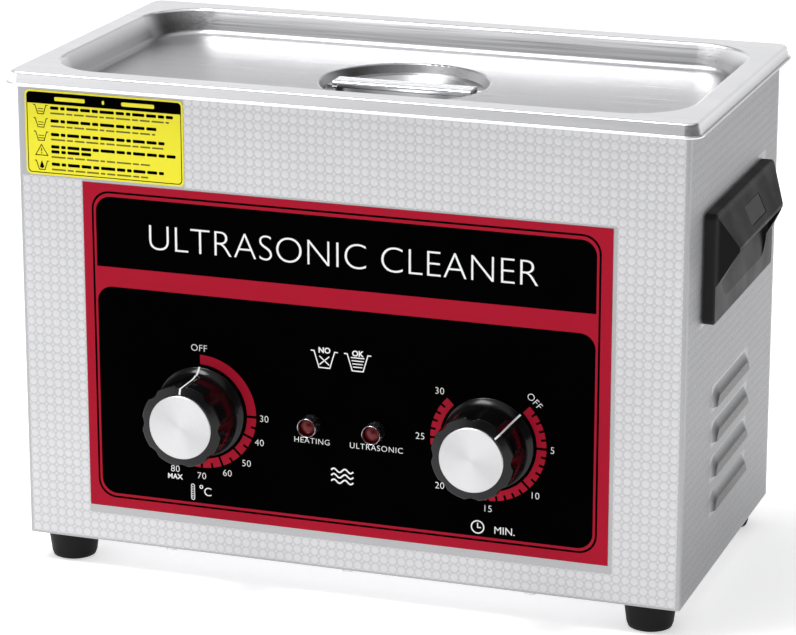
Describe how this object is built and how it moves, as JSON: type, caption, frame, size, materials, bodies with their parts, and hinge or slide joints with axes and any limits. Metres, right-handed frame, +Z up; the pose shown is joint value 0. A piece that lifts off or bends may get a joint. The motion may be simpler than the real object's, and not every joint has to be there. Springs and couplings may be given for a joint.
{
  "type": "ultrasonic cleaner",
  "caption": "Bench ultrasonic cleaner: an embossed steel casing with a lift-off lid over a drawn tank, two front knobs, indicator lamps, side handles and rubber feet.",
  "frame": {"origin": "centre of the footprint, on the plane that the feet stand on", "axes": "+X to the right across the front, handle to handle; +Y from the control panel to the rear panel; +Z up"},
  "size_m": [0.3514, 0.204, 0.243],
  "materials": {
    "casing_steel": "embossed stainless sheet",
    "lid_steel": "satin stainless sheet",
    "strap_steel": "satin",
    "tank_steel": "drawn stainless, satin",
    "plate_steel": "zinc plated sheet",
    "panel_red": "satin printed film",
    "label_yellow": "satin printed film",
    "knob_black": "moulded",
    "cap_aluminium": "spun finish",
    "rubber_black": "moulded",
    "handle_grey": "fine grain",
    "bezel_chrome": "polished",
    "lens_red": "faceted lens",
    "black_plastic": "moulded",
    "fastener": "zinc plated",
    "brass_pin": "plated",
    "shaft_metal": "turned",
    "heat_sink_metal": "extruded",
    "board_green": "laminate",
    "ceramic_ring": "fired",
    "copper_metal": "wound",
    "core_steel": "varnished laminations",
    "pad_orange": "silicone",
    "seal_silicone": "silicone",
    "lead_plastic": "wire",
    "switch_black": "moulded",
    "fuse_glass": "clear"
  },
  "bodies": {
    "cleaner": {"board_standoffs": "brass_pin", "bottom_plate": "plate_steel", "bottom_screws": "fastener", "capacitors": "black_plastic", "casing": "casing_steel", "caution_label": "label_yellow", "driver_board": "board_green", "fan_frame": "black_plastic", "fan_guard": "bezel_chrome", "fan_screws": "fastener", "foot_front_left": "rubber_black", "foot_front_right": "rubber_black", "foot_rear_left": "rubber_black", "foot_rear_right": "rubber_black", "foot_screws": "fastener", "front_overlay": "panel_red", "handle_screws": "fastener", "heat_sink": "heat_sink_metal", "heater_pad_front": "pad_orange", "heater_pad_rear": "pad_orange", "inlet_pins": "brass_pin", "lamp_bezels": "bezel_chrome", "lamp_holders": "black_plastic", "lamp_lenses": "lens_red", "mains_inlet": "black_plastic", "mains_leads": "lead_plastic", "panel_screws": "fastener", "power_transistors": "black_plastic", "rear_panel": "plate_steel", "side_handle_left": "handle_grey", "side_handle_right": "handle_grey", "spindle_nuts": "fastener", "switch_housing": "black_plastic", "tank": "tank_steel", "tank_seal": "seal_silicone", "terminal_block": "black_plastic", "thermostat_body": "plate_steel", "thermostat_bulb": "copper_metal", "timer_body": "plate_steel", "transducer_back_masses": "shaft_metal", "transducer_bolts": "fastener", "transducer_ceramics": "ceramic_ring", "transducer_electrodes": "copper_metal", "transducer_horns": "heat_sink_metal", "transducer_leads": "lead_plastic", "transformer_core": "core_steel", "transformer_winding": "copper_metal"},
    "lid": {"lid": "lid_steel", "lid_strap": "strap_steel"},
    "temperature_knob": {"knob_temperature": "knob_black", "knob_temperature_cap": "cap_aluminium", "thermostat_spindle": "shaft_metal"},
    "timer_knob": {"knob_timer": "knob_black", "knob_timer_cap": "cap_aluminium", "timer_spindle": "shaft_metal"},
    "power_rocker": {"switch_rocker": "switch_black"},
    "fan": {"fan_rotor": "black_plastic"},
    "fuse_tray": {"fuse_drawer": "black_plastic", "fuse": "fuse_glass"}
  },
  "joints": [
    {"name": "lid_lift", "type": "slide", "parent": "cleaner", "child": "lid", "axis": [0, 0, 1], "range_m": [0, 0.16]},
    {"name": "temperature_turn", "type": "hinge", "parent": "cleaner", "child": "temperature_knob", "pos_m": [-0.07175, -0.0755, 0.085], "axis": [0, 1, 0], "range_deg": [0, 270]},
    {"name": "timer_turn", "type": "hinge", "parent": "cleaner", "child": "timer_knob", "pos_m": [0.07045, -0.0755, 0.085], "axis": [0, 1, 0], "range_deg": [0, 270]},
    {"name": "power_press", "type": "hinge", "parent": "cleaner", "child": "power_rocker", "pos_m": [-0.092, 0.0965, 0.126], "axis": [1, 0, 0], "range_deg": [0, 16]},
    {"name": "fan_spin", "type": "hinge", "parent": "cleaner", "child": "fan", "pos_m": [0.078, 0.0965, 0.08], "axis": [0, 1, 0], "continuous": true},
    {"name": "fuse_drawer_slide", "type": "slide", "parent": "cleaner", "child": "fuse_tray", "axis": [0, 1, 0], "range_m": [0, 0.019]}
  ]
}
